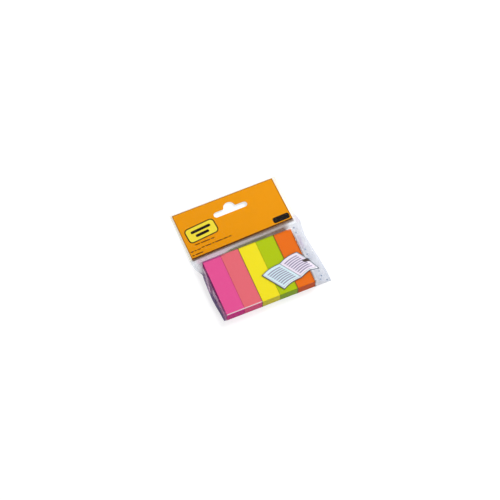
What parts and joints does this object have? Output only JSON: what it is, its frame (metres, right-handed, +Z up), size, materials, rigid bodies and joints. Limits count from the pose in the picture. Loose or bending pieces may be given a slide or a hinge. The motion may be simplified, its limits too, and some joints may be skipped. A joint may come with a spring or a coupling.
{
  "type": "sticky index tab hang pack",
  "caption": "Flat retail pack of paper page-marker pads side by side in a clear film pouch, under a printed board header with a hang slot, lying on its back.",
  "frame": {"origin": "on the table, under the middle of the pack's outer box", "axes": "+X across the pack from the pink pad to the orange pad, +Y towards the header, +Z up, away from the table"},
  "size_m": [0.0964, 0.1016, 0.0104],
  "materials": {
    "clear_film": "gloss",
    "printed_board": "satin",
    "paper_pink": "matte",
    "paper_coral": "matte",
    "paper_yellow": "matte",
    "paper_green": "matte",
    "paper_orange": "matte"
  },
  "bodies": {
    "root": {"film_bag": "clear_film", "header_card": "printed_board", "pad_pink": "paper_pink", "pad_coral": "paper_coral", "pad_yellow": "paper_yellow", "pad_green": "paper_green", "pad_orange": "paper_orange"}
  },
  "joints": []
}
